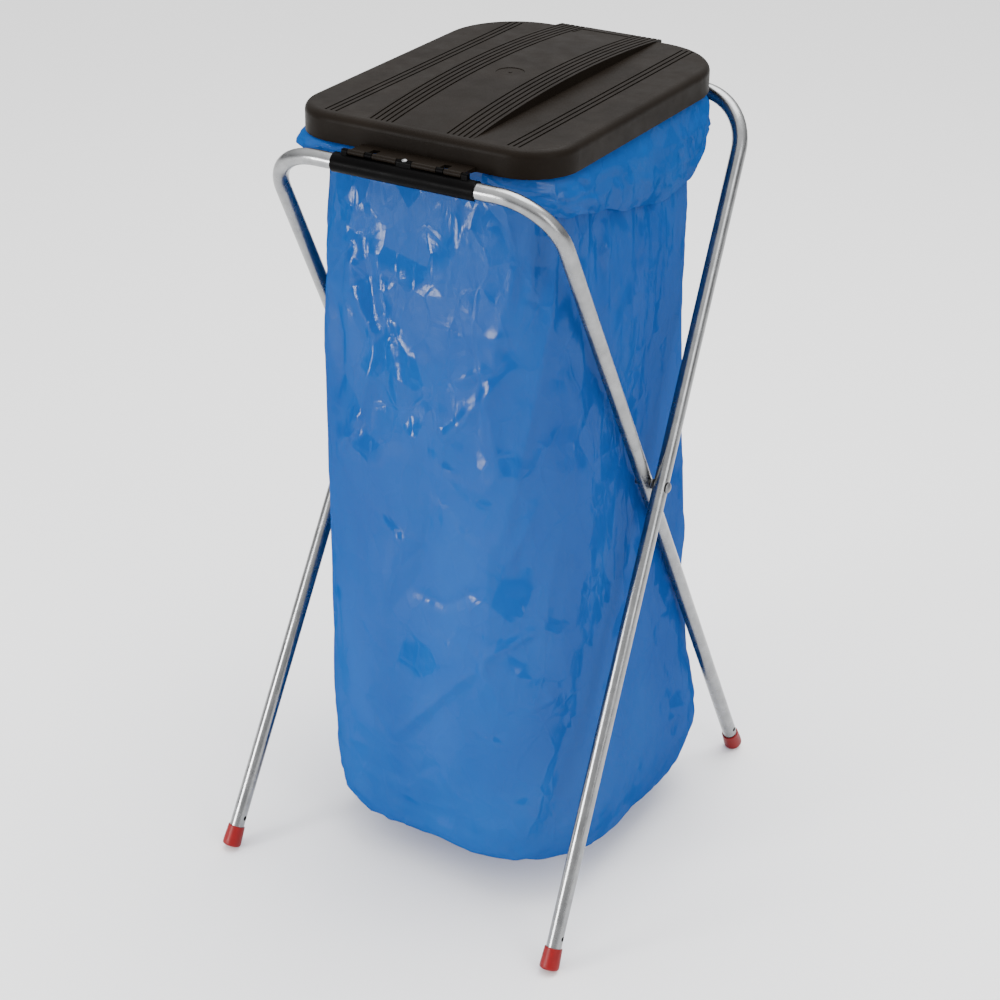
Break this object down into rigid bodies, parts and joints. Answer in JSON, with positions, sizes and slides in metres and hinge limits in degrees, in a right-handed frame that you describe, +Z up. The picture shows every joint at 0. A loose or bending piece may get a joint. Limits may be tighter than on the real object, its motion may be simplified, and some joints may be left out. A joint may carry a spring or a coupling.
{
  "type": "bin bag holder",
  "caption": "Folding stand of crossed steel tube frames that holds a bin bag open on a rim under a hinged plastic lid.",
  "frame": {"origin": "on the floor, at the middle of the footprint of the opened stand", "axes": "+Z up, +X along the crossbars, +Y from the hinge side towards the lid's grip edge"},
  "size_m": [0.4752, 0.5592, 0.9555],
  "materials": {
    "zinc_tube": "bright zinc-plated drawn tube, satin, with faint marks along its length",
    "rivet_steel": "zinc-plated steel, a little darker than the tube",
    "red_plastic": "moulded soft plastic, satin",
    "sleeve_plastic": "black moulded plastic, satin",
    "lid_plastic": "black-brown moulded plastic with a fine grain, satin",
    "blue_film": "thin glossy translucent blue film, creased"
  },
  "bodies": {
    "inner_frame": {"inner_frame_tube": "zinc_tube", "inner_foot_cap_left": "red_plastic", "inner_foot_cap_right": "red_plastic", "pivot_rivet_left": "rivet_steel", "pivot_rivet_right": "rivet_steel", "pivot_spacer_left": "rivet_steel", "pivot_spacer_right": "rivet_steel", "hinge_sleeve": "sleeve_plastic", "hinge_pin_left": "rivet_steel", "hinge_pin_right": "rivet_steel", "sleeve_screw": "rivet_steel"},
    "outer_frame": {"outer_frame_tube": "zinc_tube", "outer_foot_cap_left": "red_plastic", "outer_foot_cap_right": "red_plastic"},
    "rim": {"bag_rim": "sleeve_plastic", "bag": "blue_film"},
    "lid": {"lid": "lid_plastic"}
  },
  "joints": [
    {"name": "frame_fold", "type": "hinge", "parent": "inner_frame", "child": "outer_frame", "pos_m": [0, 0, 0.50465], "axis": [1, 0, 0], "range_deg": [0, 54], "deforming": ["bag"]},
    {"name": "rim_lift", "type": "hinge", "parent": "inner_frame", "child": "rim", "pos_m": [0, -0.2155, 0.91728], "axis": [1, 0, 0], "range_deg": [0, 108]},
    {"name": "lid_open", "type": "hinge", "parent": "rim", "child": "lid", "pos_m": [0, -0.2155, 0.91728], "axis": [1, 0, 0], "range_deg": [0, 98]}
  ],
  "couplings": [
    {"joint": "rim_lift", "follows": "frame_fold", "ratio": 2}
  ]
}
